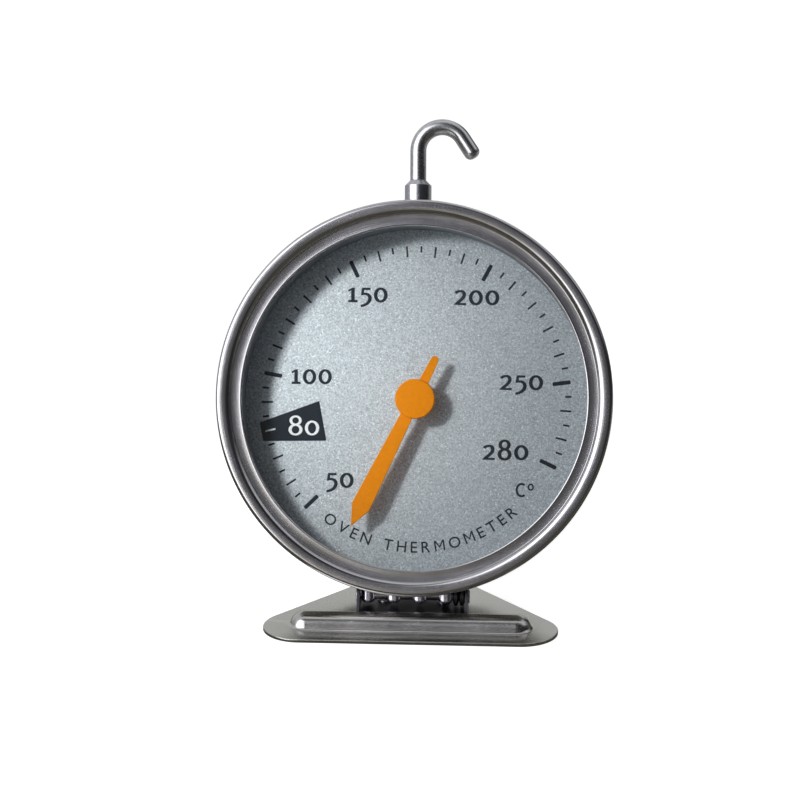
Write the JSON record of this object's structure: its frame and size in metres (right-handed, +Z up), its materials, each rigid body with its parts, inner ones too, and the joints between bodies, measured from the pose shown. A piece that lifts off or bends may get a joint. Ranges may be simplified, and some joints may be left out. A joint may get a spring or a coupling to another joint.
{
  "type": "oven thermometer",
  "caption": "Round oven thermometer that stands on a pressed foot or hangs by a rod hook, with a leaning head, a temperature dial and a turning pointer.",
  "frame": {"origin": "on the resting plane, straight below the middle of the hinge pin", "axes": "+X to the reader's right, +Y to the back, +Z up; the dial faces -Y and leans back 20.5 degrees at rest"},
  "size_m": [0.072, 0.0517, 0.085],
  "materials": {
    "foot_sheet": "satin stainless sheet, pressed",
    "bezel_steel": "stainless ring, fine turned brushing",
    "case_steel": "drawn stainless, satin",
    "hook_steel": "polished stainless rod",
    "hinge_steel": "bright stainless",
    "dark_steel": "dark blued sheet",
    "rivet_steel": "headed stainless rivets",
    "inner_steel": "plain inner sheet",
    "window_glass": "clear, flat",
    "gasket": "heat-proof black gasket",
    "dial_paint": "silver metallic paint with fine sparkle",
    "pointer_paint": "orange satin paint",
    "dial_print": "dark screen-printed ink",
    "dial_print_white": "white screen-printed ink",
    "brass": "turned brass",
    "spindle_steel": "ground steel",
    "bimetal": "rolled bimetal strip"
  },
  "bodies": {
    "foot": {"foot_plate": "foot_sheet", "stirrup_bracket": "dark_steel", "stirrup_rivets": "rivet_steel", "hinge_pin": "rivet_steel", "tilt_friction_washers": "spindle_steel"},
    "head": {"case_shell": "case_steel", "bezel_ring": "bezel_steel", "lens_gasket": "gasket", "glass_lens": "window_glass", "dial_spacer_ring": "inner_steel", "dial_plate": "dial_paint", "dial_pillars": "rivet_steel", "movement_bridge": "inner_steel", "bridge_rivets": "rivet_steel", "front_bearing_bush": "brass", "rear_bearing_bush": "brass", "bimetal_coil": "bimetal", "coil_anchor_post": "brass", "hook_bush": "hook_steel", "hook_bush_nut": "hinge_steel", "hinge_leaf": "hinge_steel", "leaf_rivets": "rivet_steel"},
    "pointer": {"pointer_needle": "pointer_paint", "pointer_hub_cap": "pointer_paint", "pointer_collet": "brass", "spindle": "spindle_steel", "coil_collet": "brass", "spindle_clip": "spindle_steel"},
    "hook": {"hanging_hook": "hook_steel", "hook_retaining_clip": "spindle_steel"}
  },
  "joints": [
    {"name": "tilt_hinge", "type": "hinge", "parent": "foot", "child": "head", "pos_m": [0, 0, 0.003], "axis": [1, 0, 0], "range_deg": [-10, 16]},
    {"name": "pointer_spin", "type": "hinge", "parent": "head", "child": "pointer", "pos_m": [0, 0.00733, 0.03859], "axis": [0, 0.9367, -0.3502], "range_deg": [-35.5, 291], "deforming": ["bimetal_coil"]},
    {"name": "hook_swivel", "type": "hinge", "parent": "head", "child": "hook", "pos_m": [-0.00058, 0.0303, 0.07403], "axis": [-0.014, 0.3502, 0.9366], "continuous": true}
  ]
}
